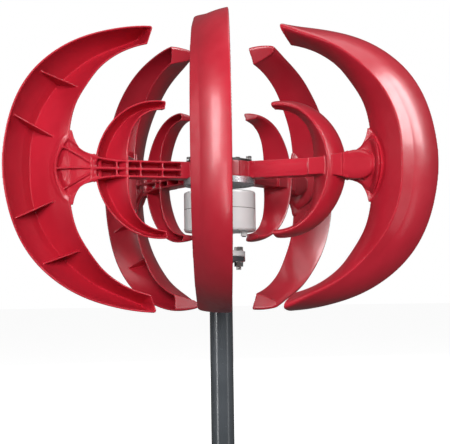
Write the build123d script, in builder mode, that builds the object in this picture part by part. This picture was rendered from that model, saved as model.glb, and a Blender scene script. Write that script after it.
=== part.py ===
from build123d import *
import os
import math
import numpy as np

# ---------------------------------------------------------------------------
# Small vertical-axis wind turbine: five one-piece moulded blades on a hub,
# a direct-drive generator below it, and the tubular mast that carries both.
# Millimetres, +Z up along the spin axis, origin at the centre of the mast
# tube's lower end.
# ---------------------------------------------------------------------------

# ---- driving dimensions ----------------------------------------------------
Z_ROTOR = 660.0            # height of the rotor's mid-plane
BLADES = 5
BLADE_AZ = [-90.0, -18.0, 54.0, 126.0, 198.0]   # azimuth of each blade's arm
WALL = 4.0                 # moulded wall of a blade

MAST_R = 24.15             # 48.3 mm tube
MAST_WALL = 3.2
SPIGOT_R = 23.55           # the tube is turned down where the flange and its weld sit
SPIGOT_LEN = 17.5
FLANGE_R = 52.0
FLANGE_T = 11.0
FLANGE_BOLT_R = 40.0       # radius of the flange bolt circle
FLANGE_BOLT_D = 10.0
FLANGE_BOLT_AZ = -18.0

# heights below follow the rotor's mid-plane
ROOT_LO, ROOT_HI = -15.0, 17.0      # clamped blade roots
PLATE_T = 5.0                       # clamp plate above the roots
PLATE_R = 70.0
DISC_R = 75.0                       # turned hub disc below the roots
DISC_T = 14.0
GEN_R = 75.0                        # generator housing
GEN_TOP, GEN_SEAM, GEN_BOT = -42.6, -79.0, -126.0
GEN_WALL = 9.0
NECK_R = 22.0
BASE_TOP = -167.0
JOINT_Z = BASE_TOP - FLANGE_T       # parting face of the flanged joint
MAST_TOP = JOINT_Z

SHAFT_R = 12.5
HUB_BOLT_R = (40.0, 65.0)           # two bolts along every arm
HUB_BOLT_D = 6.0

ARM_H = 17.5                        # half height of an arm
ARM_BACK, ARM_FRONT = -20.0, 20.0   # arm depth, convex side to concave side
ARM_RIBS = (127.0, 173.0, 222.0, 271.0)

GLAND_X, GLAND_Y = 49.5, -26.0

os.makedirs("parts", exist_ok=True)


def z(h):
    """Height above the mast's foot of a height given from the rotor plane."""
    return Z_ROTOR + h


def put(piece, name):
    piece.part.label = name
    export_step(piece.part, f"parts/{name}.step")


# ---------------------------------------------------------------------------
# Blade surface.  A blade lies in the plane r-z with its arm along +X; t is
# the direction of rotation's normal (+Y), positive on the open side.
# A section of the crescent is a V-shaped trough: a free outer edge, a rounded
# ridge on the closed side, and a free inner edge.
# ---------------------------------------------------------------------------
BIG_C = 100.0      # polar centre of the big crescent, on the arm's axis
BIG_TIP_OUT, BIG_TIP_IN = 81.6, 77.8
BIG_OUT = ([0, 9.9, 20.0, 31.3, 40.5, 51.3, 64.6, 77.4, 81.6],
           [351.0, 350.2, 350.2, 346.9, 339.1, 326.6, 310.0, 298.7, 295.6])
BIG_IN = ([0, 10, 22.95, 33.0, 38.3, 46.6, 52.3, 59.0, 65.1, 77.8],
          [212.5, 219.5, 230.8, 239.0, 242.0, 247.6, 252.7, 256.6, 259.0, 260.8])
BIG_FRAC = ([0, 20, 34, 51, 71, 81.6], [0.549, 0.52, 0.47, 0.44, 0.38, 0.36])
BIG_TO = ([0, 81.6], [21.0, 20.0])
BIG_TV = ([0, 50, 81.6], [-50.0, -49.0, -46.0])
BIG_TI = ([0, 40, 81.6], [14.0, 15.0, 15.0])

SML_C = 105.0
SML_TIP_OUT, SML_TIP_IN = 85.0, 83.6
SML_OUT = ([0, 30, 60, 85], [162.0, 159.5, 152.7, 141.6])
SML_IN = ([0, 15, 30, 57.2, 83.6], [92.5, 96.5, 105.1, 123.7, 125.4])
SML_FRAC = ([0, 30, 60, 85], [0.60, 0.56, 0.48, 0.42])
SML_TO = ([0, 85], [16.0, 16.0])
SML_TV = ([0, 30, 60, 85], [-30.0, -29.0, -24.0, -17.0])
SML_TI = ([0, 40, 85], [20.0, 18.0, 14.0])


def smooth(tab, a):
    """Even, smooth interpolation of a table over the angle from mid-height."""
    xs, ys = np.array(tab[0], float), np.array(tab[1], float)
    if len(xs) == 2:
        return float(np.interp(abs(a), xs, ys))
    full_x = np.concatenate([-xs[:0:-1], xs])
    full_y = np.concatenate([ys[:0:-1], ys])
    # natural cubic through the mirrored table
    n = len(full_x)
    h = np.diff(full_x)
    m = np.zeros((n, n))
    rhs = np.zeros(n)
    m[0, 0] = m[-1, -1] = 1.0
    for i in range(1, n - 1):
        m[i, i - 1], m[i, i], m[i, i + 1] = h[i - 1], 2 * (h[i - 1] + h[i]), h[i]
        rhs[i] = 6 * ((full_y[i + 1] - full_y[i]) / h[i] - (full_y[i] - full_y[i - 1]) / h[i - 1])
    c = np.linalg.solve(m, rhs)
    i = int(np.clip(np.searchsorted(full_x, a) - 1, 0, n - 2))
    d = h[i]
    p, q = (full_x[i + 1] - a) / d, (a - full_x[i]) / d
    return float(p * full_y[i] + q * full_y[i + 1]
                 + ((p ** 3 - p) * c[i] + (q ** 3 - q) * c[i + 1]) * d * d / 6)


def crescent(kind, s):
    """Outer edge, inner edge (r, z), ridge fraction and the three t values at
    the station s in -1..1 from the lower tip to the upper tip."""
    if kind == "big":
        c, ao, ai = BIG_C, BIG_TIP_OUT * s, BIG_TIP_IN * s
        ro, ri = smooth(BIG_OUT, ao), smooth(BIG_IN, ai)
        fr, to, tv, ti = (smooth(k, ao) for k in (BIG_FRAC, BIG_TO, BIG_TV, BIG_TI))
        b1, b2, flat, soft = 6.0, 3.0, 8.0 + 6.0 * abs(s) ** 2, 15.0 - 6.0 * abs(s)
    else:
        c, ao, ai = SML_C, SML_TIP_OUT * s, SML_TIP_IN * s
        ro, ri = smooth(SML_OUT, ao), smooth(SML_IN, ai)
        fr, to, tv, ti = (smooth(k, ao) for k in (SML_FRAC, SML_TO, SML_TV, SML_TI))
        b1, b2, flat, soft = 3.0, 1.5, 6.0 + 2.0 * abs(s), 9.0 - 4.0 * abs(s)
    ao, ai = math.radians(ao), math.radians(ai)
    o = (c + ro * math.cos(ao), ro * math.sin(ao))
    i = (c + ri * math.cos(ai), ri * math.sin(ai))
    return o, i, fr, to, tv, ti, b1 * (1 - 0.6 * abs(s) ** 3), b2 * (1 - 0.6 * abs(s) ** 3), flat, soft


def contour(width, fr, to, tv, ti, b1, b2, flat, soft, inset):
    """Points of the trough's section, from the inner edge over the ridge to
    the outer edge, moved inwards by inset.  x runs from the inner edge to the
    outer edge, y is t.  The ridge is flat wide and its corners start soft
    millimetres up each wall."""
    pi, po = np.array([0.0, ti]), np.array([width, to])
    v1, v2 = np.array([fr * width - flat / 2, tv]), np.array([fr * width + flat / 2, tv])
    mid = (v1 + v2) / 2

    def side(p, q, bulge, n):
        d = q - p
        out = np.array([d[1], -d[0]]) / np.hypot(*d)
        k = np.linspace(0, 1, n)[:, None]
        return p + d * k + out * bulge * np.sin(math.pi * k) ** 2

    def corner(p, c, q, n):
        k = np.linspace(0, 1, n)[:, None]
        return p * (1 - k) ** 2 + c * 2 * k * (1 - k) + q * k ** 2
    c1 = v1 + (pi - v1) / np.hypot(*(pi - v1)) * soft
    c2 = v2 + (po - v2) / np.hypot(*(po - v2)) * soft
    q = np.vstack([side(pi, c1, b2, 31), corner(c1, v1, mid, 21)[1:], corner(mid, v2, c2, 21)[1:],
                   side(c2, po, b1, 31)[1:]])
    tan = np.gradient(q, axis=0)
    tan /= np.hypot(tan[:, 0], tan[:, 1])[:, None]
    nrm = np.stack([-tan[:, 1], tan[:, 0]], 1)
    return q + nrm * inset


def pick(q):
    """A few points that follow the section closely."""
    return [(float(q[k, 0]), float(q[k, 1])) for k in (0, 10, 20, 30, 36, 43, 50, 57, 64, 70, 80, 90, 100)]


def section_plane(o, i):
    dx, dz = o[0] - i[0], o[1] - i[1]
    n = math.hypot(dx, dz)
    return Plane(origin=(i[0], 0, i[1]), x_dir=(dx / n, 0, dz / n), z_dir=(-dz / n, 0, dx / n)), n


STATIONS = {"big": [-1, -0.93, -0.82, -0.7, -0.56, -0.42, -0.28, -0.14, 0,
                    0.14, 0.28, 0.42, 0.56, 0.7, 0.82, 0.93, 1],
            "small": [-1, -0.85, -0.68, -0.5, -0.25, 0, 0.25, 0.5, 0.68, 0.85, 1]}


def trough(kind):
    """The crescent's shell, and the full body that its opening encloses."""
    with BuildPart() as shell:
        for s in STATIONS[kind]:
            o, i, *rest = crescent(kind, s)
            pl, w = section_plane(o, i)
            wall = WALL if kind == "big" else 3.5
            a, b = contour(w, *rest, 0.0), contour(w, *rest, wall)
            with BuildSketch(pl):
                with BuildLine():
                    Polyline(*pick(a), *pick(b)[::-1], close=True)
                make_face()
        loft(ruled=True)
    with BuildPart() as core:
        for s in STATIONS[kind]:
            o, i, *rest = crescent(kind, s)
            pl, w = section_plane(o, i)
            m = contour(w, *rest, 1.6)
            with BuildSketch(pl):
                with BuildLine():
                    Polyline(*pick(m), close=True)
                make_face()
        loft(ruled=True)
    return shell.part, core.part


big_shell, big_core = trough("big")
small_shell, small_core = trough("small")


def end_slab(kind, s, thick):
    """A block that holds the last few millimetres of a crescent's tip."""
    o, i, *_ = crescent(kind, s)
    pl, w = section_plane(o, i)
    inward = -thick if s > 0 else thick
    with BuildPart() as slab:
        with BuildSketch(pl):
            with Locations((w / 2, -10)):
                Rectangle(w + 60, 130)
        extrude(amount=inward)
    return slab.part


def gusset(r0, z0, t0, r1, z1, t1, thick):
    """A thin upright plate whose straight top edge runs between two points."""
    n = math.hypot(r1 - r0, z1 - z0)
    pl = Plane(origin=(r0, 0, z0), x_dir=((r1 - r0) / n, 0, (z1 - z0) / n),
               z_dir=((z1 - z0) / n, 0, -(r1 - r0) / n))
    # in this plane x runs along the plate and y is t
    sign = 1.0 if pl.y_dir.Y > 0 else -1.0
    with BuildPart() as plate:
        with BuildSketch(pl):
            Polygon((-40, sign * (t0 + 5)), (n + 14, sign * (t1 - 2)), (n + 14, sign * -80),
                    (-40, sign * -80), align=None)
        extrude(amount=thick / 2, both=True)
    return plate.part


with BuildPart() as inner_webs:
    for sg in (1, -1):
        add(gusset(421, sg * 100, 8, 340, sg * 62, -13, 3.0))
        add(gusset(367, sg * 190, 2, 301, sg * 167, -2, 3.0))
        add(end_slab("big", sg, 4.0))
    add(big_core, mode=Mode.INTERSECT)

with BuildPart() as small_webs:
    for sg in (1, -1):
        add(end_slab("small", sg, 3.0))
    with BuildSketch(Plane.XZ.offset(-ARM_BACK - 2)):
        with Locations((232, 0)):
            Rectangle(80, 2 * ARM_H)
    extrude(amount=30)
    add(small_core, mode=Mode.INTERSECT)

# outline of the neck between the arm and the big crescent's inner edge
NECK = [(262, 23.5), (270, 27), (279, 29.5), (288, 33), (297, 39), (303, 48),
        (308, 60), (311.5, 76), (313.5, 92)]
NOSE_C, NOSE_R = 297.0, 34.0        # rounded end of the arm behind the web
FAN_C, FAN_R = 244.5, 94.0          # arc that closes the fan-shaped pocket

with BuildPart() as blade_body:
    add(big_shell)
    add(small_shell)
    add(inner_webs.part)
    add(small_webs.part)
    # the arm, flaring into the neck
    with BuildSketch(Plane.XZ.offset(-ARM_FRONT)):
        Polygon((76.5, -ARM_H), (222, -ARM_H), (245, -20), (262, -23.5), (284, -28), (284, 28),
                (262, 23.5), (245, 20), (222, ARM_H), (76.5, ARM_H), align=None)
    extrude(amount=ARM_FRONT - ARM_BACK)
    # flat web of the neck
    with BuildSketch(Plane.XZ.offset(-16)):
        with BuildLine():
            up = Spline(*NECK)
            dn = Spline(*[(a, -b) for a, b in NECK])
            Line(up @ 1, (320, 92))
            Line((320, 92), (320, -92))
            Line((320, -92), dn @ 1)
            Line(dn @ 0, up @ 0)
        make_face()
    extrude(amount=7)
    # the arm's rounded nose, standing out behind the web
    with BuildSketch(Plane.XZ.offset(-8)):
        with BuildLine():
            Line((255, -22), (282, -28))
            ThreePointArc((282, -28), (333, 0), (282, 28))
            Line((282, 28), (255, 22))
            Line((255, 22), (255, -22))
        make_face()
    extrude(amount=32)
    # wedge-shaped root, clamped between disc and plate
    with BuildSketch(Plane.XY.offset(ROOT_LO)):
        with BuildLine():
            k = math.radians(35.5)
            a0 = (18 * math.cos(k), 18 * math.sin(k))
            a1 = (72 * math.cos(k), 72 * math.sin(k))
            Line(a0, a1)
            ThreePointArc(a1, (72, 0), (a1[0], -a1[1]))
            Line((a1[0], -a1[1]), (a0[0], -a0[1]))
            ThreePointArc((a0[0], -a0[1]), (18, 0), a0)
        make_face()
        with Locations((70, 0)):
            Rectangle(18, 40)
    extrude(amount=ROOT_HI - ROOT_LO)
    # open cells of the arm
    cells = [(82, ARM_RIBS[0] - 1.5), (ARM_RIBS[0] + 1.5, ARM_RIBS[1] - 1.5),
             (ARM_RIBS[1] + 1.5, ARM_RIBS[2] - 1.5), (ARM_RIBS[2] + 2, ARM_RIBS[3] - 2)]
    with BuildSketch(Plane.XZ.offset(-ARM_FRONT - 5)):
        for n, (c0, c1) in enumerate(cells):
            for sg in (1, -1):
                if n < 3:
                    Polygon((c0, sg * 2.5), (c1, sg * 2.5), (c1, sg * 13.2), (c0, sg * 13.2), align=None)
                else:
                    Polygon((c0, sg * 2.5), (c1, sg * 2.5), (c1, sg * 21.5), (c0 + 20, sg * 15.5),
                            (c0, sg * 13.2), align=None)
    extrude(amount=ARM_FRONT + 5 - ARM_BACK - WALL, mode=Mode.SUBTRACT)
    # fan-shaped pocket behind the web, open to the concave side
    with BuildSketch(Plane.XZ.offset(-26)):
        with BuildLine():
            Line((277, -22), (300, -27))
            ThreePointArc((300, -27), (329, 0), (300, 27))
            Line((300, 27), (277, 22))
            Line((277, 22), (277, -22))
        make_face()
    extrude(amount=26 + 20, mode=Mode.SUBTRACT)

with BuildPart() as blade_ribs:
    # three ribs that fan out across the pocket
    for ang in (0.0, 21.0, -21.0):
        pl = Plane(origin=(262, 0, 0), x_dir=(math.cos(math.radians(ang)), 0, math.sin(math.radians(ang))),
                   z_dir=(math.sin(math.radians(ang)), 0, -math.cos(math.radians(ang))))
        sign = 1.0 if pl.y_dir.Y > 0 else -1.0
        with BuildSketch(pl):
            Polygon((12, sign * 14), (48, sign * 8), (69, sign * -4), (69, sign * -22),
                    (12, sign * -22), align=None)
        extrude(amount=1.5, both=True)

with BuildPart() as blade_1:
    add(blade_body.part)
    add(blade_ribs.part)
    # two bolt holes through the root
    with BuildSketch(Plane.XY.offset(ROOT_LO - 1)):
        with Locations(*[(r, 0) for r in HUB_BOLT_R]):
            Circle(HUB_BOLT_D / 2 + 0.3)
    extrude(amount=ROOT_HI - ROOT_LO + 2, mode=Mode.SUBTRACT)

blade_shape = blade_1.part


def placed(az):
    with BuildPart() as blade:
        add(blade_shape.moved(Location((0, 0, Z_ROTOR), (0, 0, az))))
    return blade


for n, az in enumerate(BLADE_AZ, 1):
    put(placed(az), f"blade_{n}")


# ---------------------------------------------------------------------------
# Hub
# ---------------------------------------------------------------------------
BOLT_SPOTS = [(r * math.cos(math.radians(a)), r * math.sin(math.radians(a)))
              for a in BLADE_AZ for r in HUB_BOLT_R]

with BuildPart() as hub_disc:
    with BuildSketch(Plane.XY.offset(z(ROOT_LO - DISC_T))):
        Circle(DISC_R)
    extrude(amount=DISC_T)
    chamfer(hub_disc.edges().filter_by(GeomType.CIRCLE), 0.8)
    with BuildSketch(Plane.XY.offset(z(GEN_TOP + 1.4))):
        Circle(24)
    extrude(until=Until.NEXT)
    with BuildSketch(Plane.XY.offset(z(GEN_TOP))):
        Circle(10.05)
        with Locations((0, 10)):
            Rectangle(6.1, 5.6)
    extrude(amount=40, mode=Mode.SUBTRACT)
    with BuildSketch(Plane.XY.offset(z(ROOT_LO - DISC_T - 1))):
        with Locations(*BOLT_SPOTS):
            Circle(HUB_BOLT_D / 2)
    extrude(amount=DISC_T + 2, mode=Mode.SUBTRACT)
put(hub_disc, "hub_disc")

with BuildPart() as clamp_plate:
    with BuildSketch(Plane.XY.offset(z(ROOT_HI))):
        Circle(PLATE_R)
        with Locations(*BOLT_SPOTS):
            Circle(HUB_BOLT_D / 2 + 0.3, mode=Mode.SUBTRACT)
    extrude(amount=PLATE_T)
    chamfer(clamp_plate.faces().sort_by(Axis.Z)[-1].edges().sort_by(SortBy.LENGTH)[-1], 0.8)
put(clamp_plate, "clamp_plate")

PLATE_TOP = ROOT_HI + PLATE_T
with BuildPart() as hub_washers:
    with BuildSketch(Plane.XY.offset(z(PLATE_TOP))):
        with Locations(*BOLT_SPOTS):
            Circle(6.0)
            Circle(3.2, mode=Mode.SUBTRACT)
    extrude(amount=1.6)
put(hub_washers, "hub_washers")

with BuildPart() as hub_lock_washers:
    with BuildSketch(Plane.XY.offset(z(PLATE_TOP + 1.6))):
        with Locations(*BOLT_SPOTS):
            Circle(5.2)
            Circle(3.2, mode=Mode.SUBTRACT)
    extrude(amount=1.5)
put(hub_lock_washers, "hub_lock_washers")

with BuildPart() as hub_bolts:
    with BuildSketch(Plane.XY.offset(z(PLATE_TOP + 3.1))):
        with Locations(*BOLT_SPOTS):
            RegularPolygon(5.0, 6, major_radius=False)
    extrude(amount=4.2)
    with BuildSketch(Plane.XY.offset(z(PLATE_TOP + 7.0))):
        with Locations(*BOLT_SPOTS):
            Circle(4.6)
    extrude(amount=0.7)
    with BuildSketch(Plane.XY.offset(z(ROOT_LO - DISC_T + 1.0))):
        with Locations(*BOLT_SPOTS):
            Circle(HUB_BOLT_D / 2 - 0.05)
    extrude(amount=PLATE_TOP + 3.5 - (ROOT_LO - DISC_T + 1.0))
put(hub_bolts, "hub_bolts")

# ---------------------------------------------------------------------------
# Shaft and what turns with it inside the generator
# ---------------------------------------------------------------------------
LOW_BRG, UP_BRG = -112.0, -64.6     # lower faces of the two bearings
BRG_T, BRG_OR, BRG_PITCH = 15.0, 26.0, 19.25

with BuildPart() as shaft:
    with BuildSketch(Plane.XZ):
        Polygon((0, z(-113.0)), (SHAFT_R - 0.6, z(-113.0)), (SHAFT_R - 0.05, z(-112.4)),
                (SHAFT_R - 0.05, z(-97.0)),
                (15.5, z(-97.0)), (15.5, z(-64.6)), (SHAFT_R - 0.05, z(-64.6)),
                (SHAFT_R - 0.05, z(GEN_TOP + 1.2)), (10.0, z(GEN_TOP + 1.2)), (10.0, z(-15.4)),
                (8.0, z(-15.4)), (8.0, z(4.0)), (7.2, z(4.8)), (0, z(4.8)), align=None)
    revolve(axis=Axis.Z)
    # keyway for the disc
    with BuildSketch(Plane.XY.offset(z(-38))):
        with Locations((0, 8.9)):
            Rectangle(6.05, 2.9)
    extrude(amount=18, mode=Mode.SUBTRACT)
put(shaft, "shaft")

with BuildPart() as shaft_key:
    with BuildSketch(Plane.XY.offset(z(-37.9))):
        with Locations((0, 10.0)):
            Rectangle(6.0, 5.0)
    extrude(amount=17.8)
put(shaft_key, "shaft_key")

with BuildPart() as shaft_washer:
    with BuildSketch(Plane.XY.offset(z(ROOT_LO))):
        Circle(15)
        Circle(8.3, mode=Mode.SUBTRACT)
    extrude(amount=2.5)
put(shaft_washer, "shaft_washer")

with BuildPart() as shaft_nut:
    with BuildSketch(Plane.XY.offset(z(ROOT_LO + 2.5))):
        RegularPolygon(12.0, 6, major_radius=False)
        Circle(8.05, mode=Mode.SUBTRACT)
    extrude(amount=13)
put(shaft_nut, "shaft_nut")

with BuildPart() as rotor_core:
    with BuildSketch(Plane.XY.offset(z(-95.0))):
        Circle(38.0)
        Circle(15.55, mode=Mode.SUBTRACT)
        with PolarLocations(27.0, 6, start_angle=30):
            Circle(6.5, mode=Mode.SUBTRACT)
    extrude(amount=28.0)
put(rotor_core, "rotor_core")

with BuildPart() as rotor_magnets:
    for k in range(12):
        a = math.radians(30 * k)
        w = math.radians(12.5)
        with BuildSketch(Plane.XY.offset(z(-94.5))):
            with BuildLine():
                p = [(rr * math.cos(a + ww), rr * math.sin(a + ww)) for rr, ww in
                     ((38.05, -w), (43.0, -w), (43.0, 0), (43.0, w), (38.05, w), (38.05, 0))]
                Line(p[0], p[1])
                ThreePointArc(p[1], p[2], p[3])
                Line(p[3], p[4])
                ThreePointArc(p[4], p[5], p[0])
            make_face()
        extrude(amount=27.0)
put(rotor_magnets, "rotor_magnets")


def ring(r0, r1, low, groove_side):
    """Bearing ring with a rolling groove."""
    mid = z(low + BRG_T / 2)
    with BuildPart() as rg:
        with BuildSketch(Plane.XZ):
            with Locations(((r0 + r1) / 2, mid)):
                Rectangle(r1 - r0, BRG_T)
            with Locations((BRG_PITCH, mid)):
                Circle(4.05, mode=Mode.SUBTRACT)
        revolve(axis=Axis.Z)
        sel = rg.edges().filter_by(GeomType.CIRCLE).filter_by(
            lambda e: abs(e.radius - (r0 if groove_side == "out" else r1)) < 1e-3)
        chamfer(sel, 0.5)
    return rg


def balls(low):
    with BuildPart() as bs:
        with PolarLocations(BRG_PITCH, 9):
            with Locations((0, 0, z(low + BRG_T / 2))):
                Sphere(3.75)
    return bs


put(ring(SHAFT_R, 16.6, LOW_BRG, "out"), "bearing_lower_inner_ring")
put(ring(SHAFT_R, 16.6, UP_BRG, "out"), "bearing_upper_inner_ring")
put(balls(LOW_BRG), "bearing_lower_balls")
put(balls(UP_BRG), "bearing_upper_balls")

# ---------------------------------------------------------------------------
# Generator, the part that stands still
# ---------------------------------------------------------------------------
put(ring(21.9, BRG_OR, LOW_BRG, "in"), "bearing_lower_outer_ring")
put(ring(21.9, BRG_OR, UP_BRG, "in"), "bearing_upper_outer_ring")

SCREW_SPOTS_R = 70.5
with BuildPart() as upper_housing:
    with BuildSketch(Plane.XZ):
        with BuildLine():
            ri = GEN_R - GEN_WALL
            pts = [(14.2, z(GEN_TOP)), (GEN_R - 5, z(GEN_TOP))]
            Line(pts[0], pts[1])
            ThreePointArc(pts[1], (GEN_R - 5 + 5 * math.sin(math.pi / 4), z(GEN_TOP - 5 + 5 * math.cos(math.pi / 4))),
                          (GEN_R, z(GEN_TOP - 5)))
            Polyline((GEN_R, z(GEN_TOP - 5)), (GEN_R, z(GEN_SEAM + 0.5)), (ri, z(GEN_SEAM + 0.5)),
                     (ri, z(GEN_TOP - 7)), (32, z(GEN_TOP - 7)), (32, z(-64.6)),
                     (BRG_OR + 0.02, z(-64.6)), (BRG_OR + 0.02, z(-49.5)), (14.2, z(-49.5)),
                     pts[0])
        make_face()
    revolve(axis=Axis.Z)
    # seat of the shaft seal
    with BuildSketch(Plane.XY.offset(z(GEN_TOP - 5.0))):
        Circle(20.05)
    extrude(amount=6, mode=Mode.SUBTRACT)
    # tapped holes for the long screws
    with BuildSketch(Plane.XY.offset(z(GEN_SEAM))):
        with PolarLocations(SCREW_SPOTS_R, 6):
            Circle(2.0)
    extrude(amount=16, mode=Mode.SUBTRACT)
put(upper_housing, "generator_upper_housing")

with BuildPart() as shaft_seal:
    with BuildSketch(Plane.XZ):
        Polygon((12.85, z(GEN_TOP - 4.0)), (13.6, z(GEN_TOP - 4.9)), (20.0, z(GEN_TOP - 4.9)),
                (20.0, z(GEN_TOP - 0.1)), (13.6, z(GEN_TOP - 0.1)), align=None)
    revolve(axis=Axis.Z)
put(shaft_seal, "shaft_seal")

with BuildPart() as housing_gasket:
    with BuildSketch(Plane.XY.offset(z(GEN_SEAM - 0.5))):
        Circle(GEN_R - 0.6)
        Circle(GEN_R - GEN_WALL, mode=Mode.SUBTRACT)
        with PolarLocations(SCREW_SPOTS_R, 6):
            Circle(2.2, mode=Mode.SUBTRACT)
    extrude(amount=1.0)
put(housing_gasket, "housing_gasket")

with BuildPart() as lower_housing:
    with BuildSketch(Plane.XZ):
        with BuildLine():
            ri = GEN_R - GEN_WALL
            Polyline((GEN_R, z(GEN_SEAM - 0.5)), (GEN_R, z(GEN_BOT + 3)), (GEN_R - 3, z(GEN_BOT)),
                     (NECK_R, z(GEN_BOT)), (NECK_R, z(JOINT_Z)), (15.0, z(JOINT_Z)), (15.0, z(-116.0)),
                     (20, z(-116.0)), (20, z(LOW_BRG)), (BRG_OR + 0.02, z(LOW_BRG)),
                     (BRG_OR + 0.02, z(-98.0)), (32, z(-98.0)), (32, z(-118.0)),
                     (ri, z(-118.0)), (ri, z(GEN_SEAM - 0.5)), (GEN_R, z(GEN_SEAM - 0.5)))
        make_face()
    revolve(axis=Axis.Z)
    # shallow lip round the bottom
    with BuildSketch(Plane.XY.offset(z(GEN_BOT + 5.0))):
        Circle(GEN_R + 0.8)
        Circle(GEN_R - 0.5, mode=Mode.SUBTRACT)
    extrude(amount=2.0)
    with BuildSketch(Plane.XY.offset(z(GEN_BOT - 1))):
        with PolarLocations(SCREW_SPOTS_R, 6):
            Circle(2.2)
        with Locations((GLAND_X, GLAND_Y)):
            Circle(6.0)
    extrude(amount=60, mode=Mode.SUBTRACT)
    with BuildSketch(Plane.XY.offset(z(GEN_BOT - 1))):
        with PolarLocations(SCREW_SPOTS_R, 6):
            Circle(3.8)
    extrude(amount=5.5, mode=Mode.SUBTRACT)
put(lower_housing, "generator_lower_housing")

with BuildPart() as housing_screws:
    with BuildSketch(Plane.XY.offset(z(GEN_BOT + 0.4))):
        with PolarLocations(SCREW_SPOTS_R, 6):
            Circle(3.5)
            RegularPolygon(1.5, 6, major_radius=False, mode=Mode.SUBTRACT)
    extrude(amount=2.2)
    with BuildSketch(Plane.XY.offset(z(GEN_BOT + 2.6))):
        with PolarLocations(SCREW_SPOTS_R, 6):
            Circle(3.5)
    extrude(amount=1.9)
    with BuildSketch(Plane.XY.offset(z(GEN_BOT + 4.0))):
        with PolarLocations(SCREW_SPOTS_R, 6):
            Circle(1.95)
    extrude(amount=57)
put(housing_screws, "housing_screws")

STATOR_LO, STATOR_HI = -97.0, -66.0
with BuildPart() as stator_core:
    with BuildSketch(Plane.XY.offset(z(STATOR_LO))):
        Circle(GEN_R - GEN_WALL - 0.05)
        Circle(58.0, mode=Mode.SUBTRACT)
        with PolarLocations(52.0, 12):
            Rectangle(14.0, 8.0)
        with PolarLocations(47.4, 12):
            Rectangle(2.6, 17.0)
        Circle(45.6, mode=Mode.SUBTRACT)
    extrude(amount=STATOR_HI - STATOR_LO)
put(stator_core, "stator_core")

with BuildPart() as stator_windings:
    for k in range(12):
        a = math.radians(30 * k)
        pl = Plane(origin=(49.4 * math.cos(a), 49.4 * math.sin(a), z((STATOR_LO + STATOR_HI) / 2)),
                   x_dir=(-math.sin(a), math.cos(a), 0), z_dir=(math.cos(a), math.sin(a), 0))
        with BuildSketch(pl):
            RectangleRounded(14.6, 40.0, 3.0)
            RectangleRounded(8.4, STATOR_HI - STATOR_LO + 0.4, 0.1, mode=Mode.SUBTRACT)
        extrude(amount=8.0)
put(stator_windings, "stator_windings")

# cable gland in the housing's floor
with BuildPart() as cable_gland_body:
    with BuildSketch(Plane.XY.offset(z(GEN_BOT - 4.0))):
        with Locations((GLAND_X, GLAND_Y)):
            RegularPolygon(7.5, 6, major_radius=False)
            Circle(3.6, mode=Mode.SUBTRACT)
    extrude(amount=4.0)
    with BuildSketch(Plane.XY.offset(z(GEN_BOT))):
        with Locations((GLAND_X, GLAND_Y)):
            Circle(5.95)
            Circle(3.6, mode=Mode.SUBTRACT)
    extrude(amount=7.0)
put(cable_gland_body, "cable_gland_body")

with BuildPart() as cable_gland_cap:
    with BuildSketch(Plane.XY.offset(z(GEN_BOT - 11.0))):
        with Locations((GLAND_X, GLAND_Y)):
            Circle(6.6)
            Circle(4.4, mode=Mode.SUBTRACT)
    extrude(amount=7.0)
    chamfer(cable_gland_cap.faces().sort_by(Axis.Z)[0].outer_wire().edges(), 1.4)
put(cable_gland_cap, "cable_gland_cap")

with BuildPart() as cable_gland_seal:
    with BuildSketch(Plane.XY.offset(z(GEN_BOT - 12.2))):
        with Locations((GLAND_X, GLAND_Y)):
            Circle(4.35)
            Circle(2.6, mode=Mode.SUBTRACT)
    extrude(amount=8.1)
put(cable_gland_seal, "cable_gland_seal")

# ---------------------------------------------------------------------------
# Flanged joint and mast
# ---------------------------------------------------------------------------
FB = [(FLANGE_BOLT_R * math.cos(math.radians(FLANGE_BOLT_AZ + 90 * k)),
       FLANGE_BOLT_R * math.sin(math.radians(FLANGE_BOLT_AZ + 90 * k))) for k in range(4)]


def flange(top, bore):
    with BuildPart() as fl:
        with BuildSketch(Plane.XY.offset(z(top - FLANGE_T))):
            Circle(FLANGE_R)
            Circle(bore, mode=Mode.SUBTRACT)
            with Locations(*FB):
                Circle(FLANGE_BOLT_D / 2 + 0.5, mode=Mode.SUBTRACT)
        extrude(amount=FLANGE_T)
        rim = fl.edges().filter_by(GeomType.CIRCLE).filter_by(lambda e: abs(e.radius - FLANGE_R) < 1e-3)
        chamfer(rim, 1.0)
    return fl


put(flange(BASE_TOP, NECK_R + 0.02), "generator_base_flange")
put(flange(JOINT_Z, SPIGOT_R + 0.02), "mast_flange")

with BuildPart() as mast_tube:
    with BuildSketch(Plane.XY):
        Circle(MAST_R)
        Circle(MAST_R - MAST_WALL, mode=Mode.SUBTRACT)
    extrude(amount=z(MAST_TOP) - 0.5)
    with BuildSketch(Plane.XY.offset(z(MAST_TOP) - 0.5 - SPIGOT_LEN)):
        Circle(MAST_R + 2)
        Circle(SPIGOT_R, mode=Mode.SUBTRACT)
    extrude(amount=SPIGOT_LEN + 1, mode=Mode.SUBTRACT)
put(mast_tube, "mast_tube")

with BuildPart() as flange_weld:
    with BuildSketch(Plane.XZ):
        Polygon((SPIGOT_R + 0.02, z(JOINT_Z - FLANGE_T)), (MAST_R + 5.0, z(JOINT_Z - FLANGE_T)),
                (SPIGOT_R + 0.02, z(JOINT_Z - FLANGE_T - 5.0)), align=None)
    revolve(axis=Axis.Z)
put(flange_weld, "mast_flange_weld")

with BuildPart() as neck_weld:
    with BuildSketch(Plane.XZ):
        Polygon((NECK_R + 0.02, z(BASE_TOP)), (NECK_R + 4.0, z(BASE_TOP)),
                (NECK_R + 0.02, z(BASE_TOP + 4.0)), align=None)
    revolve(axis=Axis.Z)
put(neck_weld, "generator_neck_weld")

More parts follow.
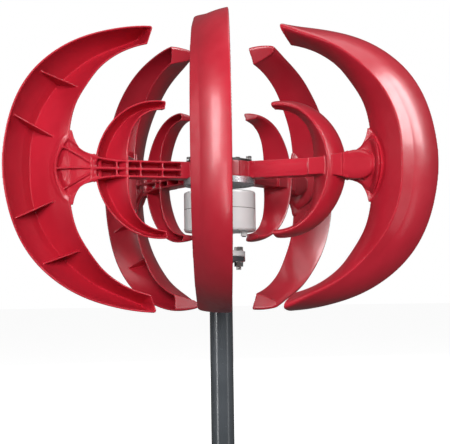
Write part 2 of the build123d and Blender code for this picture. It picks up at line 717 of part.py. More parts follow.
with BuildPart() as flange_bolts:
    with BuildSketch(Plane.XY.offset(z(BASE_TOP + 2.0))):
        with Locations(*FB):
            RegularPolygon(8.0, 6, major_radius=False)
    extrude(amount=6.4)
    with BuildSketch(Plane.XY.offset(z(BASE_TOP + 8.4))):
        with Locations(*FB):
            Circle(7.4)
    extrude(amount=0.6)
    with BuildSketch(Plane.XY.offset(z(JOINT_Z - FLANGE_T - 17.0))):
        with Locations(*FB):
            Circle(FLANGE_BOLT_D / 2 - 0.05)
    extrude(amount=2 * FLANGE_T + 17.0 + 3.0)
put(flange_bolts, "flange_bolts")

with BuildPart() as flange_washers:
    for low in (BASE_TOP, JOINT_Z - FLANGE_T - 2.0):
        with BuildSketch(Plane.XY.offset(z(low))):
            with Locations(*FB):
                Circle(10.0)
                Circle(5.3, mode=Mode.SUBTRACT)
        extrude(amount=2.0)
put(flange_washers, "flange_washers")

with BuildPart() as flange_nuts:
    with BuildSketch(Plane.XY.offset(z(JOINT_Z - FLANGE_T - 2.0 - 8.4))):
        with Locations(*FB):
            RegularPolygon(8.0, 6, major_radius=False)
            Circle(FLANGE_BOLT_D / 2, mode=Mode.SUBTRACT)
    extrude(amount=8.4)
put(flange_nuts, "flange_nuts")
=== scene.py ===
import bpy
import math
import numpy as np
from mathutils import Vector, Matrix, Euler


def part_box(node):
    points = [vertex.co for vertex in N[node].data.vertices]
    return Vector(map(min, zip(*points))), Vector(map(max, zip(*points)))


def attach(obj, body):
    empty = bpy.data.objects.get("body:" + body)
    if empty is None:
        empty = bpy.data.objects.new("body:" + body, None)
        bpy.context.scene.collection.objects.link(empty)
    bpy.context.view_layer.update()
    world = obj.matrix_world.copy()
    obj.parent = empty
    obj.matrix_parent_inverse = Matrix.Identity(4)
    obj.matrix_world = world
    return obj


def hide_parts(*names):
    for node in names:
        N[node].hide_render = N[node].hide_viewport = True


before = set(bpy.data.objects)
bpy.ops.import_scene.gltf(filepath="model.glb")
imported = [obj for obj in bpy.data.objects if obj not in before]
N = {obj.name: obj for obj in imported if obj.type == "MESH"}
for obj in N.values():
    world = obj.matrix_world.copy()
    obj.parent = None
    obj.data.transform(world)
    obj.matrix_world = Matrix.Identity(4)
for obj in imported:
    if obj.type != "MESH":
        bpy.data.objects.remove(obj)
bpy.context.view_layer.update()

C = bpy.context.scene.collection
ROOT = (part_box("hub_disc")[1].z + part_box("clamp_plate")[0].z) / 2 - 0.001   # height of the rotor plane
AZ = [-90.0, -18.0, 54.0, 126.0, 198.0]

# ---------------------------------------------------------------- materials


def new_mat(name):
    m = bpy.data.materials.new(name)
    m.use_nodes = True
    nt = m.node_tree
    b = nt.nodes["Principled BSDF"]
    return m, nt, b


def tex(nt, kind, scale, detail=2.0, rough=0.5, vec=None, stretch=None):
    n = nt.nodes.new(kind)
    n.inputs["Scale"].default_value = scale
    if "Detail" in n.inputs:
        n.inputs["Detail"].default_value = detail
    if "Roughness" in n.inputs:
        n.inputs["Roughness"].default_value = rough
    co = nt.nodes.new("ShaderNodeTexCoord")
    src = co.outputs["Object"]
    if stretch:
        mp = nt.nodes.new("ShaderNodeMapping")
        mp.inputs["Scale"].default_value = stretch
        nt.links.new(src, mp.inputs["Vector"])
        src = mp.outputs["Vector"]
    nt.links.new(src, n.inputs["Vector"])
    return n


def ramp(nt, fac, c0, c1, p0=0.0, p1=1.0):
    r = nt.nodes.new("ShaderNodeValToRGB")
    r.color_ramp.elements[0].position = p0
    r.color_ramp.elements[1].position = p1
    r.color_ramp.elements[0].color = (*c0, 1)
    r.color_ramp.elements[1].color = (*c1, 1)
    nt.links.new(fac, r.inputs["Fac"])
    return r


def remap(nt, fac, lo, hi, a=0.3, b=0.7):
    r = nt.nodes.new("ShaderNodeMapRange")
    r.inputs["From Min"].default_value = a
    r.inputs["From Max"].default_value = b
    r.inputs["To Min"].default_value = lo
    r.inputs["To Max"].default_value = hi
    nt.links.new(fac, r.inputs["Value"])
    return r


def bump(nt, b, height, strength, dist):
    k = nt.nodes.new("ShaderNodeBump")
    k.inputs["Strength"].default_value = strength
    k.inputs["Distance"].default_value = dist
    nt.links.new(height, k.inputs["Height"])
    nt.links.new(k.outputs["Normal"], b.inputs["Normal"])
    return k


def mix_height(nt, a, b, wa, wb):
    m1 = nt.nodes.new("ShaderNodeMath"); m1.operation = "MULTIPLY"; m1.inputs[1].default_value = wa
    m2 = nt.nodes.new("ShaderNodeMath"); m2.operation = "MULTIPLY_ADD"; m2.inputs[1].default_value = wb
    nt.links.new(a, m1.inputs[0])
    nt.links.new(b, m2.inputs[0])
    nt.links.new(m1.outputs[0], m2.inputs[2])
    return m2.outputs[0]


def plastic(name, c0, c1, r0, r1, coat=0.0, peel=0.0002, spec=0.5):
    """Moulded gloss plastic: faint flow mottling, orange peel, small dull specks."""
    m, nt, b = new_mat(name)
    flow = tex(nt, "ShaderNodeTexNoise", 9.0, 3.0, 0.55)
    nt.links.new(ramp(nt, flow.outputs["Fac"], c0, c1, 0.35, 0.65).outputs["Color"], b.inputs["Base Color"])
    wear = tex(nt, "ShaderNodeTexNoise", 60.0, 4.0, 0.6)
    nt.links.new(remap(nt, wear.outputs["Fac"], r0, r1).outputs["Result"], b.inputs["Roughness"])
    peel_a = tex(nt, "ShaderNodeTexNoise", 260.0, 1.0, 0.4)
    peel_b = tex(nt, "ShaderNodeTexNoise", 28.0, 2.0, 0.4)
    bump(nt, b, mix_height(nt, peel_a.outputs["Fac"], peel_b.outputs["Fac"], 0.4, 0.6), 0.2, peel)
    b.inputs["Specular IOR Level"].default_value = spec
    b.inputs["Coat Weight"].default_value = coat
    b.inputs["Coat Roughness"].default_value = 0.12
    return m


def metal(name, c0, c1, r0, r1, brushed=None, grain=0.00003, metallic=1.0, aniso=0.0):
    m, nt, b = new_mat(name)
    cloud = tex(nt, "ShaderNodeTexNoise", 30.0, 4.0, 0.6)
    nt.links.new(ramp(nt, cloud.outputs["Fac"], c0, c1, 0.3, 0.7).outputs["Color"], b.inputs["Base Color"])
    lines = tex(nt, "ShaderNodeTexNoise", 500.0, 3.0, 0.7, stretch=brushed or (1, 1, 1))
    nt.links.new(remap(nt, lines.outputs["Fac"], r0, r1).outputs["Result"], b.inputs["Roughness"])
    bump(nt, b, lines.outputs["Fac"], 0.3, grain)
    b.inputs["Metallic"].default_value = metallic
    b.inputs["Anisotropic"].default_value = aniso
    return m


def turned(name, c0, c1):
    """Lathe-turned aluminium: fine rings round the spin axis."""
    m, nt, b = new_mat(name)
    co = nt.nodes.new("ShaderNodeTexCoord")
    w = nt.nodes.new("ShaderNodeTexWave")
    w.wave_type = "RINGS"; w.rings_direction = "Z"
    w.inputs["Scale"].default_value = 420.0
    w.inputs["Distortion"].default_value = 1.5
    w.inputs["Detail"].default_value = 3.0
    nt.links.new(co.outputs["Object"], w.inputs["Vector"])
    cloud = tex(nt, "ShaderNodeTexNoise", 25.0, 3.0, 0.6)
    nt.links.new(ramp(nt, cloud.outputs["Fac"], c0, c1, 0.3, 0.7).outputs["Color"], b.inputs["Base Color"])
    nt.links.new(remap(nt, w.outputs["Fac"], 0.22, 0.36, 0.0, 1.0).outputs["Result"], b.inputs["Roughness"])
    bump(nt, b, w.outputs["Fac"], 0.15, 0.00004)
    b.inputs["Metallic"].default_value = 0.75
    b.inputs["Anisotropic"].default_value = 0.4
    return m


def paint(name, c0, c1, r0, r1, peel=0.00012, coat=0.3, scale=180.0):
    m, nt, b = new_mat(name)
    cloud = tex(nt, "ShaderNodeTexNoise", 14.0, 4.0, 0.55)
    nt.links.new(ramp(nt, cloud.outputs["Fac"], c0, c1, 0.35, 0.65).outputs["Color"], b.inputs["Base Color"])
    wear = tex(nt, "ShaderNodeTexNoise", 75.0, 5.0, 0.65)
    nt.links.new(remap(nt, wear.outputs["Fac"], r0, r1).outputs["Result"], b.inputs["Roughness"])
    grain = tex(nt, "ShaderNodeTexNoise", scale, 2.0, 0.5)
    bump(nt, b, grain.outputs["Fac"], 0.4, peel)
    b.inputs["Coat Weight"].default_value = coat
    b.inputs["Coat Roughness"].default_value = 0.15
    return m


RED = plastic("blade_red", (0.42, 0.012, 0.026), (0.49, 0.016, 0.034), 0.28, 0.38, coat=0.15, peel=0.00006)
MAST = paint("mast_grey", (0.058, 0.066, 0.074), (0.074, 0.082, 0.092), 0.20, 0.28, coat=0.5)
WHITE = paint("housing_white", (0.88, 0.90, 0.90), (0.94, 0.95, 0.95), 0.28, 0.40, coat=0.3)
ALU = turned("turned_aluminium", (0.52, 0.53, 0.55), (0.66, 0.67, 0.69))
BLACK = paint("black_plate", (0.012, 0.010, 0.012), (0.022, 0.019, 0.021), 0.32, 0.45, coat=0.1)
ZINC = metal("zinc_plate", (0.52, 0.53, 0.53), (0.72, 0.72, 0.70), 0.24, 0.42)
STEEL = metal("ground_steel", (0.45, 0.45, 0.46), (0.58, 0.58, 0.59), 0.16, 0.30, brushed=(1, 1, 0.05))
POLISH = metal("polished_steel", (0.62, 0.62, 0.64), (0.74, 0.74, 0.75), 0.05, 0.12)
RUBBER = plastic("seal_rubber", (0.010, 0.010, 0.011), (0.024, 0.023, 0.023), 0.6, 0.8, peel=0.0002, spec=0.3)
LAM = metal("lamination", (0.20, 0.20, 0.21), (0.34, 0.34, 0.35), 0.3, 0.5, brushed=(0.05, 0.05, 1))
COPPER = metal("enamelled_copper", (0.48, 0.17, 0.06), (0.62, 0.26, 0.10), 0.2, 0.35, brushed=(1, 1, 0.1))
MAGNET = metal("nickel_plate", (0.50, 0.49, 0.46), (0.62, 0.61, 0.58), 0.12, 0.25)
GLAND = plastic("gland_plastic", (0.70, 0.71, 0.70), (0.80, 0.80, 0.79), 0.30, 0.45)


def dress(node, mat):
    o = N[node]
    o.data.materials.clear()
    o.data.materials.append(mat)


for name in N:
    if name.startswith("blade_"): dress(name, RED)
    elif name in ("mast_tube", "mast_flange", "mast_flange_weld"): dress(name, MAST)
    elif name in ("generator_upper_housing", "generator_lower_housing", "generator_base_flange",
                  "generator_neck_weld"): dress(name, WHITE)
    elif name == "hub_disc": dress(name, ALU)
    elif name == "clamp_plate": dress(name, BLACK)
    elif name in ("shaft", "shaft_key"): dress(name, STEEL)
    elif name.startswith("bearing_"): dress(name, POLISH)
    elif name in ("shaft_seal", "housing_gasket", "cable_gland_seal"): dress(name, RUBBER)
    elif name in ("stator_core", "rotor_core"): dress(name, LAM)
    elif name == "stator_windings": dress(name, COPPER)
    elif name == "rotor_magnets": dress(name, MAGNET)
    elif name in ("cable_gland_body", "cable_gland_cap"): dress(name, GLAND)
    else: dress(name, ZINC)

# ------------------------------------------------------------- blade surface
# r along the arm, t across it (positive on the open side), z up; millimetres
BIG_C, SML_C = 100.0, 105.0
TAB = {
    "big": dict(tip=(81.6, 77.8),
                out=([0, 9.9, 20.0, 31.3, 40.5, 51.3, 64.6, 77.4, 81.6],
                     [351.0, 350.2, 350.2, 346.9, 339.1, 326.6, 310.0, 298.7, 295.6]),
                inn=([0, 10, 22.95, 33.0, 38.3, 46.6, 52.3, 59.0, 65.1, 77.8],
                     [212.5, 219.5, 230.8, 239.0, 242.0, 247.6, 252.7, 256.6, 259.0, 260.8]),
                fr=([0, 20, 34, 51, 66, 74, 81.6], [0.549, 0.52, 0.47, 0.44, 0.43, 0.50, 0.76]),
                to=([0, 81.6], [21.0, 20.0]), tv=([0, 50, 81.6], [-50.0, -49.0, -46.0]),
                ti=([0, 40, 81.6], [14.0, 15.0, 15.0])),
    "small": dict(tip=(85.0, 83.6),
                  out=([0, 30, 60, 85], [162.0, 159.5, 152.7, 141.6]),
                  inn=([0, 15, 30, 57.2, 83.6], [92.5, 96.5, 105.1, 123.7, 125.4]),
                  fr=([0, 30, 60, 85], [0.60, 0.56, 0.48, 0.42]),
                  to=([0, 85], [16.0, 16.0]), tv=([0, 30, 60, 85], [-30.0, -29.0, -24.0, -17.0]),
                  ti=([0, 40, 85], [20.0, 18.0, 14.0])),
}


def smooth(tab, a):
    xs, ys = np.array(tab[0], float), np.array(tab[1], float)
    if len(xs) == 2:
        return float(np.interp(abs(a), xs, ys))
    fx = np.concatenate([-xs[:0:-1], xs])
    fy = np.concatenate([ys[:0:-1], ys])
    n = len(fx)
    h = np.diff(fx)
    m = np.zeros((n, n)); rhs = np.zeros(n)
    m[0, 0] = m[-1, -1] = 1.0
    for i in range(1, n - 1):
        m[i, i - 1], m[i, i], m[i, i + 1] = h[i - 1], 2 * (h[i - 1] + h[i]), h[i]
        rhs[i] = 6 * ((fy[i + 1] - fy[i]) / h[i] - (fy[i] - fy[i - 1]) / h[i - 1])
    c = np.linalg.solve(m, rhs)
    i = int(np.clip(np.searchsorted(fx, a) - 1, 0, n - 2))
    d = h[i]
    p, q = (fx[i + 1] - a) / d, (a - fx[i]) / d
    return float(p * fy[i] + q * fy[i + 1] + ((p ** 3 - p) * c[i] + (q ** 3 - q) * c[i + 1]) * d * d / 6)


def crescent(kind, s):
    T = TAB[kind]
    c = BIG_C if kind == "big" else SML_C
    ao, ai = T["tip"][0] * s, T["tip"][1] * s
    ro, ri = smooth(T["out"], ao), smooth(T["inn"], ai)
    fr, to, tv, ti = (smooth(T[k], ao) for k in ("fr", "to", "tv", "ti"))
    if kind == "big":
        b1, b2, flat, soft = 4.5, 2.2, 10.0 + 4.0 * abs(s) ** 2, 24.0 - 13.0 * abs(s)
    else:
        b1, b2, flat, soft = 2.4, 1.2, 6.0 + 2.0 * abs(s), 9.0 - 4.0 * abs(s)
    ao, ai = math.radians(ao), math.radians(ai)
    o = np.array([c + ro * math.cos(ao), ro * math.sin(ao)])
    i = np.array([c + ri * math.cos(ai), ri * math.sin(ai)])
    k = 1 - 0.6 * abs(s) ** 3
    cut = (8.0 if kind == "big" else 4.0) * (1 - math.sqrt(1 - min(1.0, max(0.0, (abs(s) - 0.984) / 0.016)) ** 2))
    o = o + (i - o) / np.hypot(*(i - o)) * cut
    return o, i, (fr, to, tv, ti, b1 * k, b2 * k, flat, soft)


NW, NC = 56, 14


def contour(width, fr, to, tv, ti, b1, b2, flat, soft, inset):
    pi, po = np.array([0.0, ti]), np.array([width, to])
    v1, v2 = np.array([fr * width - flat / 2, tv]), np.array([fr * width + flat / 2, tv])
    mid = (v1 + v2) / 2

    def side(p, q, bulge, n):
        d = q - p
        out = np.array([d[1], -d[0]]) / np.hypot(*d) * bulge * 4
        k = np.linspace(0, 1, n)[:, None]
        return p + d * k + out * k * (1 - k), d + out, d - out

    def corner(p, c, q, n):
        k = np.linspace(0, 1, n)[:, None]
        return p * (1 - k) ** 2 + c * 2 * k * (1 - k) + q * k ** 2
    c1 = v1 + (pi - v1) / np.hypot(*(pi - v1)) * soft
    c2 = v2 + (po - v2) / np.hypot(*(po - v2)) * soft
    w1, _, e1 = side(pi, c1, b2, NW)
    w2, e2, _ = side(c2, po, b1, NW)
    k1, k2 = c1 + e1 * (tv - c1[1]) / e1[1], c2 + e2 * (tv - c2[1]) / e2[1]
    k1[0], k2[0] = min(k1[0], mid[0] - 0.5), max(k2[0], mid[0] + 0.5)
    q = np.vstack([w1, corner(c1, k1, mid, NC)[1:], corner(mid, k2, c2, NC)[1:], w2[1:]])
    tan = np.gradient(q, axis=0)
    tan /= np.hypot(tan[:, 0], tan[:, 1])[:, None]
    nrm = np.stack([-tan[:, 1], tan[:, 0]], 1)
    return q + nrm * inset


def grid(kind, ss, inset):
    rows = []
    for s in ss:
        o, i, rest = crescent(kind, s)
        w = np.hypot(*(o - i))
        u = (o - i) / w
        q = contour(w, *rest, inset)
        rows.append(np.stack([i[0] + q[:, 0] * u[0], q[:, 1], i[1] + q[:, 0] * u[1]], 1))
    return np.array(rows)          # [station, point, (r, t, z)]


def closed(a, b):
    """A closed skin between two equal grids of points."""
    n, m = a.shape[:2]
    verts = np.vstack([a.reshape(-1, 3), b.reshape(-1, 3)])
    off = n * m
    idx = np.arange(n * m).reshape(n, m)
    f = []
    q = np.stack([idx[:-1, :-1], idx[1:, :-1], idx[1:, 1:], idx[:-1, 1:]], -1).reshape(-1, 4)
    f.append(q)
    f.append(q[:, ::-1] + off)
    for e in (idx[0, :], idx[-1, ::-1], idx[::-1, 0], idx[:, -1]):
        f.append(np.stack([e[:-1], e[1:], e[1:] + off, e[:-1] + off], -1))
    return verts, np.vstack(f)


# --- root of the blade: a fan-shaped pocket that ends on an arc
FAN_C, FAN_R, FAN_A = 244.5, 97.0, 37.0


def fan(r, z):
    x = r - FAN_C
    return np.hypot(x, z), np.degrees(np.arctan2(z, x))


def step(x):
    x = np.clip(x, 0, 1)
    return x * x * (3 - 2 * x)


def sink(r, z):
    """How far the web is sunk inside the fan, and raised just outside it."""
    rho, phi = fan(r, z)
    side = np.clip(1 - (phi / FAN_A) ** 2, 0, 1)
    d = (5 + 8.0 * step((rho - 34) / 46) + 7.0 * step((rho - 84) / 8)) * np.sqrt(side) * (rho < FAN_R - 1.0) * (rho > 28) * (r > FAN_C)
    rim = 2.2 * np.sin(np.pi * np.clip((rho - FAN_R) / 12.0, 0, 1)) ** 2 * step((44 - abs(phi)) / 10)
    return np.where(rho < FAN_R - 1.0, d, -rim) * (abs(phi) < 60)


def base(r):
    """The open side's surface of the web and the neck."""
    k = 6.0
    return 18.3 - 0.84 * k * np.log1p(np.exp(np.clip((r - 314.0) / k, -40, 40)))


parts = []
SS = np.concatenate([np.linspace(-1, -0.984, 12), np.linspace(-0.984, -0.2, 190)[1:], np.linspace(-0.2, 0.2, 150)[1:],
                     np.linspace(0.2, 0.984, 190)[1:], np.linspace(0.984, 1, 12)[1:]])
A, B = grid("big", SS, 0.0), grid("big", SS, 4.0)
web = np.zeros(A.shape[1], bool)
web[:NW - 4] = True
for g in (A, B):
    d = sink(g[:, web, 0], g[:, web, 2])
    near = (np.abs(SS) < 0.34)[:, None]
    g[:, web, 1] -= np.where(near, d, 0.0)
parts.append(closed(A, B))
MIDB = grid("big", SS, 2.0).reshape(-1, 3)
SS2 = np.concatenate([np.linspace(-1, -0.984, 8), np.linspace(-0.984, 0.984, 240)[1:], np.linspace(0.984, 1, 8)[1:]])
parts.append(closed(grid("small", SS2, 0.0), grid("small", SS2, 3.5)))


def tip_wall(kind, s0, s1):
    """End of a crescent: the hollow ramps up to a closed end."""
    ss = np.linspace(s0, s1, 16)
    a = grid(kind, ss, 1.6)
    b = a.copy()
    u = np.linspace(0, 1, a.shape[1])[:, None]
    for k in range(len(a)):
        w = 0.02 + 0.98 * step(k / (len(a) - 1)) ** 1.6
        b[k] += (a[k, 0] * (1 - u) + a[k, -1] * u - a[k]) * w
    return closed(a, b)


for sg in (1, -1):
    parts.append(tip_wall("big", sg * 0.955, sg * 1.0))
    parts.append(tip_wall("small", sg * 0.94, sg * 1.0))


def plate(p0, p1, thick, floor, n=60, lead=0.0, tail=0.0, crest=None):
    """Thin upright plate whose top runs from p0 to p1, each (r, z, t), straight or along a crest."""
    p0, p1 = np.array(p0, float), np.array(p1, float)
    d = p1 - p0
    ln = np.hypot(d[0], d[1])
    k = np.linspace(-lead / ln, 1 + tail / ln, n)
    pts = p0 + k[:, None] * d
    perp = np.array([-d[1], d[0]]) / ln * thick / 2
    low = np.array([floor(r, z) for r, z in pts[:, :2]])
    high = pts[:, 2] if crest is None else np.array([crest(r) for r in pts[:, 0]])
    top = np.maximum(high, low + 0.2)
    a = np.zeros((n, 2, 3)); b = np.zeros((n, 2, 3))
    for j, sg in enumerate((1, -1)):
        a[:, j, 0] = b[:, j, 0] = pts[:, 0] + sg * perp[0]
        a[:, j, 2] = b[:, j, 2] = pts[:, 1] + sg * perp[1]
        a[:, j, 1], b[:, j, 1] = low - 0.8, top
    return closed(a, b)


def trough_floor(r, z):
    d = (MIDB[:, 0] - r) ** 2 + (MIDB[:, 2] - z) ** 2
    k = int(np.argmin(d))
    return float(MIDB[k, 1])


for sg in (1, -1):
    parts.append(plate((421, sg * 100, 9), (340, sg * 62, -13), 3.0, trough_floor, lead=14, tail=6))
    parts.append(plate((367, sg * 190, 4), (301, sg * 167, -3), 3.0, trough_floor, lead=12, tail=8))

# --- neck and fan patch, from the arm's end to beyond the inner edge
NECK = np.array([(270, 27), (279, 29.5), (288, 33), (297, 39), (303, 48), (308, 60), (311.5, 76)], float)
nr, nph = fan(NECK[:, 0], NECK[:, 1])
RHO = np.concatenate([np.linspace(24, 94, 60), np.linspace(94, 101, 12)[1:]])
PH = np.linspace(-1, 1, 121)
lim = np.interp(RHO, nr, nph, left=52.0)
rr = FAN_C + RHO[:, None] * np.cos(np.radians(PH[None, :] * lim[:, None]))
zz = RHO[:, None] * np.sin(np.radians(PH[None, :] * lim[:, None]))
edge = step((1 - np.abs(PH[None, :])) * lim[:, None] * np.radians(1) * RHO[:, None] / 5.0)
top = base(rr) - sink(rr, zz) * edge
a = np.stack([rr, top - 5.0, zz], -1)
b = np.stack([rr, top, zz], -1)
parts.append(closed(a, b))
# wall of the arc
PH = np.linspace(-FAN_A - 1, FAN_A + 1, 90)
RW = np.array([FAN_R - 3.4, FAN_R + 0.8])
rr = FAN_C + RW[:, None] * np.cos(np.radians(PH[None, :]))
zz = RW[:, None] * np.sin(np.radians(PH[None, :]))
dd = 20.0 * np.sqrt(np.clip(1 - (PH / FAN_A) ** 2, 0, 1))[None, :]
tw = np.array([[trough_floor(r, z) for r, z in zip(ra, za)] for ra, za in zip(rr, zz)])
parts.append(closed(np.stack([rr, tw - dd - 1.5, zz], -1), np.stack([rr, tw + 1.6, zz], -1)))


def fan_floor(r, z):
    return float(base(r) - sink(np.array(r), np.array(z))) - 1.5


for p0, p1 in (((272, 0, 17.5), (340.5, 0, -2.5)), ((272, 8, 17.5), (330.5, 43.5, 3.0)),
               ((272, -8, 17.5), (330.5, -43.5, 3.0))):
    parts.append(plate(p0, p1, 3.0, fan_floor, tail=4.0, crest=lambda r: float(base(r)) - 0.9))

# --- the arm's nose, standing out behind the web
nx = np.array([250, 258, 265, 275, 285, 295, 305, 313, 320, 326, 330, 332.5, 333.5], float)
nh = np.array([19, 21.5, 24, 27, 28.8, 29.3, 28.2, 25.5, 21.2, 15.6, 10.2, 5, 1.0])
NR = np.linspace(250, 333.5, 70)
NH = np.interp(NR, nx, nh)
u = np.sin(np.linspace(-math.pi / 2, math.pi / 2, 41))
zz = NH[:, None] * u[None, :]
rr = np.repeat(NR[:, None], 41, 1)
rho, phi = fan(rr, zz)
back = -20.0 + 7.0 * np.abs(u[None, :]) ** 4 + 5.0 * step((NR[:, None] - 322) / 12)
inner = np.minimum(base(rr) - 3.0 - 12.0, 2.0)
inner = np.maximum(inner, back + 3.0)
parts.append(closed(np.stack([rr, back, zz], -1), np.stack([rr, inner, zz], -1)))

# --- the ribbed arm
AR = np.array([76.5, 222, 245, 262, 276], float)
AH = np.array([17.5, 17.5, 20.0, 23.5, 27.5])
R = np.linspace(74, 276, 90)
H = np.interp(R, AR, AH)
u = np.linspace(-1, 1, 25)
zz = H[:, None] * u[None, :]
rr = np.repeat(R[:, None], 25, 1)
back = -20.0 + 4.5 * np.abs(u[None, :]) ** 3 + 0 * rr
parts.append(closed(np.stack([rr, back, zz], -1), np.stack([rr, back * 0 - 15.5, zz], -1)))


def bar(r0, r1, zlo, zhi, t0, t1, n=60):
    r = np.linspace(r0, r1, n)
    lo, hi = zlo(r), zhi(r)
    a = np.zeros((n, 2, 3)); b = np.zeros((n, 2, 3))
    for j, zv in enumerate((lo, hi)):
        a[:, j, 0] = b[:, j, 0] = r
        a[:, j, 2] = b[:, j, 2] = zv
        a[:, j, 1], b[:, j, 1] = t0, t1
    return closed(a, b)


half = lambda r: np.interp(r, AR, AH)
parts.append(bar(74, 276, lambda r: half(r) - 4.3, half, -18, 19.5))
parts.append(bar(74, 276, lambda r: -half(r), lambda r: -half(r) + 4.3, -18, 19.5))
parts.append(bar(74, 274, lambda r: r * 0 - 2.5, lambda r: r * 0 + 2.5, -18, 19.2))
for rc, w in ((84, 9), (127, 3), (173, 3), (222, 3.4), (272.5, 4.2)):
    parts.append(bar(rc - w / 2, rc + w / 2, lambda r: -half(r) + 1, lambda r: half(r) - 1, -18, 19.2, 4))
# flares that carry the arm through the inner crescent
parts.append(bar(196, 266, lambda r: -half(r) + 0.5, lambda r: half(r) - 0.5, -24, -16, 10))
# --- wedge-shaped root
PHI = np.radians(np.linspace(-35.5, 35.5, 40))
ra = np.array([18.0, 72.0])
rr = ra[:, None] * np.cos(PHI[None, :])
tt = ra[:, None] * np.sin(PHI[None, :])
parts.append(closed(np.stack([rr, tt, rr * 0 - 15.0], -1), np.stack([rr, tt, rr * 0 + 17.0], -1)))
parts.append(bar(60, 80, lambda r: np.where(r < 76.2, -15.0, -17.5), lambda r: np.where(r < 76.2, 17.0, 17.5), -19.5, 19.5))


def join(parts):
    vs, fs, off = [], [], 0
    for v, f in parts:
        vs.append(v); fs.append(f + off); off += len(v)
    return np.vstack(vs), np.vstack(fs)


def mesh_of(name, v, f):
    me = bpy.data.meshes.new(name)
    me.vertices.add(len(v))
    me.vertices.foreach_set("co", np.ascontiguousarray(v, dtype=np.float32).ravel())
    me.loops.add(f.size)
    me.loops.foreach_set("vertex_index", np.ascontiguousarray(f, dtype=np.int32).ravel())
    me.polygons.add(len(f))
    me.polygons.foreach_set("loop_start", np.arange(0, f.size, 4, dtype=np.int32))
    me.polygons.foreach_set("loop_total", np.full(len(f), 4, dtype=np.int32))
    me.update(calc_edges=True)
    me.validate()
    return me


# each part has its own outward side, then one skin is wrapped round them all
import bmesh
v, f = join(parts)
v = v[:, [0, 1, 2]] / 1000.0
raw = mesh_of("blade_raw", v, f)
bm = bmesh.new(); bm.from_mesh(raw)
bmesh.ops.recalc_face_normals(bm, faces=bm.faces)
bm.to_mesh(raw); bm.free()
tmp = bpy.data.objects.new("blade_raw", raw)
C.objects.link(tmp)
m1 = tmp.modifiers.new("skin", "REMESH")
m1.mode = "VOXEL"; m1.voxel_size = 0.0013; m1.adaptivity = 0.0; m1.use_smooth_shade = True
m2 = tmp.modifiers.new("soften", "SMOOTH")
m2.factor = 0.5; m2.iterations = 5
bpy.context.view_layer.update()
dg = bpy.context.evaluated_depsgraph_get()
skin = bpy.data.meshes.new_from_object(tmp.evaluated_get(dg))
bpy.data.objects.remove(tmp)
skin.name = "blade_skin"
for p in skin.polygons:
    p.use_smooth = True
skin.materials.clear()
skin.materials.append(RED)
print("blade skin", len(skin.vertices), len(skin.polygons))
co = np.zeros(len(skin.vertices) * 3, np.float32)
skin.vertices.foreach_get("co", co)
co = co.reshape(-1, 3).astype(float)
for n, az in enumerate(AZ, 1):
    a = math.radians(az)
    rot = np.array([[math.cos(a), -math.sin(a), 0], [math.sin(a), math.cos(a), 0], [0, 0, 1]])
    me = skin.copy()
    me.name = f"blade_moulding_{n}"
    me.vertices.foreach_set("co", (co @ rot.T + np.array([0, 0, ROOT])).astype(np.float32).ravel())
    me.update()
    o = bpy.data.objects.new(f"blade_moulding_{n}", me)
    C.objects.link(o)
    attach(o, "rotor")
    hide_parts(f"blade_{n}")

# ------------------------------------------------------------------- studio
floor_mat, nt, b = new_mat("studio_floor")
fn = tex(nt, "ShaderNodeTexNoise", 3.0, 2.0, 0.5)
nt.links.new(ramp(nt, fn.outputs["Fac"], (0.38, 0.38, 0.38), (0.40, 0.40, 0.40)).outputs["Color"], b.inputs["Base Color"])
b.inputs["Roughness"].default_value = 0.9
b.inputs["Emission Color"].default_value = (1, 1, 1, 1)
b.inputs["Emission Strength"].default_value = 0.91
me = bpy.data.meshes.new("studio_floor")
me.from_pydata([(-30, -30, -0.0005), (30, -30, -0.0005), (30, 30, -0.0005), (-30, 30, -0.0005)], [], [(0, 1, 2, 3)])
me.materials.append(floor_mat)
floor = bpy.data.objects.new("studio_floor", me)
C.objects.link(floor)
floor.visible_diffuse = False
floor.visible_glossy = False

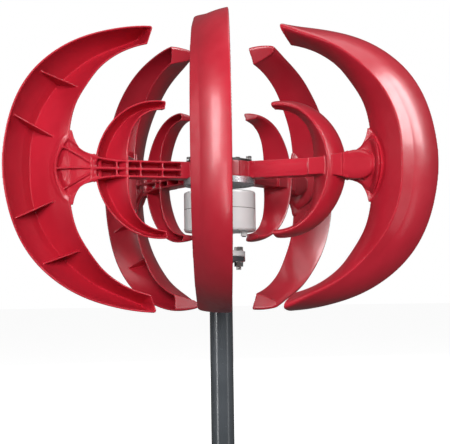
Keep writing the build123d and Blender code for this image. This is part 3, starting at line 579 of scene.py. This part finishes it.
world = bpy.data.worlds.new("studio")
bpy.context.scene.world = world
world.use_nodes = True
nt = world.node_tree
nt.nodes.clear()
out = nt.nodes.new("ShaderNodeOutputWorld")
bg1 = nt.nodes.new("ShaderNodeBackground"); bg1.inputs["Color"].default_value = (1, 1, 1, 1); bg1.inputs["Strength"].default_value = 1.0
bg2 = nt.nodes.new("ShaderNodeBackground"); bg2.inputs["Color"].default_value = (1, 1, 1, 1); bg2.inputs["Strength"].default_value = 0.11
lp = nt.nodes.new("ShaderNodeLightPath")
mx = nt.nodes.new("ShaderNodeMixShader")
nt.links.new(lp.outputs["Is Camera Ray"], mx.inputs[0])
nt.links.new(bg2.outputs[0], mx.inputs[1])
nt.links.new(bg1.outputs[0], mx.inputs[2])
nt.links.new(mx.outputs[0], out.inputs["Surface"])


def area(name, pos, target, w, h, power, color=(1, 1, 1)):
    l = bpy.data.lights.new(name, "AREA")
    l.shape = "RECTANGLE"; l.size = w; l.size_y = h
    l.energy = power
    l.color = color
    o = bpy.data.objects.new(name, l)
    o.location = pos
    o.rotation_euler = (Vector(target) - Vector(pos)).to_track_quat("-Z", "Y").to_euler()
    C.objects.link(o)
    return o


MID = (0, 0, ROOT)
# two tall soft boxes for the sheen, and a large frontal one for the even light
k1 = area("key_left", (-2.7, -1.2, ROOT + 0.7), MID, 0.8, 1.6, 62)
k2 = area("key_right", (2.4, -1.2, ROOT + 1.6), MID, 0.8, 2.2, 115)
k3 = area("low_left", (-2.1, -1.76, ROOT - 0.8), (0, 0, ROOT - 0.5), 0.30, 1.3, 12)
k4 = area("low_right", (2.2, -1.3, ROOT - 0.8), (0, 0, ROOT - 0.5), 0.35, 1.2, 3)
for k in (k1, k2, k3, k4):
    k.visible_diffuse = False
area("top", (0.2, -0.2, ROOT + 2.6), MID, 2.4, 2.0, 32)
fill = area("front_fill", (-0.05, -3.5, ROOT + 0.7), MID, 1.5, 1.5, 155)
fill.visible_glossy = False
back = area("back_fill", (-0.8, 3.4, ROOT + 1.0), MID, 1.8, 1.6, 60)
back.visible_glossy = False

# ------------------------------------------------------------------- camera
cam = bpy.data.cameras.new("camera")
cam.lens = 80.0
cam.sensor_width = 36.0
cam.sensor_fit = "HORIZONTAL"
cam.shift_y = 71.5 / 450.0
cam.shift_x = 4.05 / 450.0
cam.clip_end = 100
co_ = bpy.data.objects.new("camera", cam)
co_.location = (0, -2.1, ROOT - 0.255)
co_.rotation_euler = Euler((math.radians(90), math.radians(0.80), 0), "XYZ")
C.objects.link(co_)
bpy.context.scene.camera = co_
bpy.context.scene.view_settings.view_transform = "Standard"
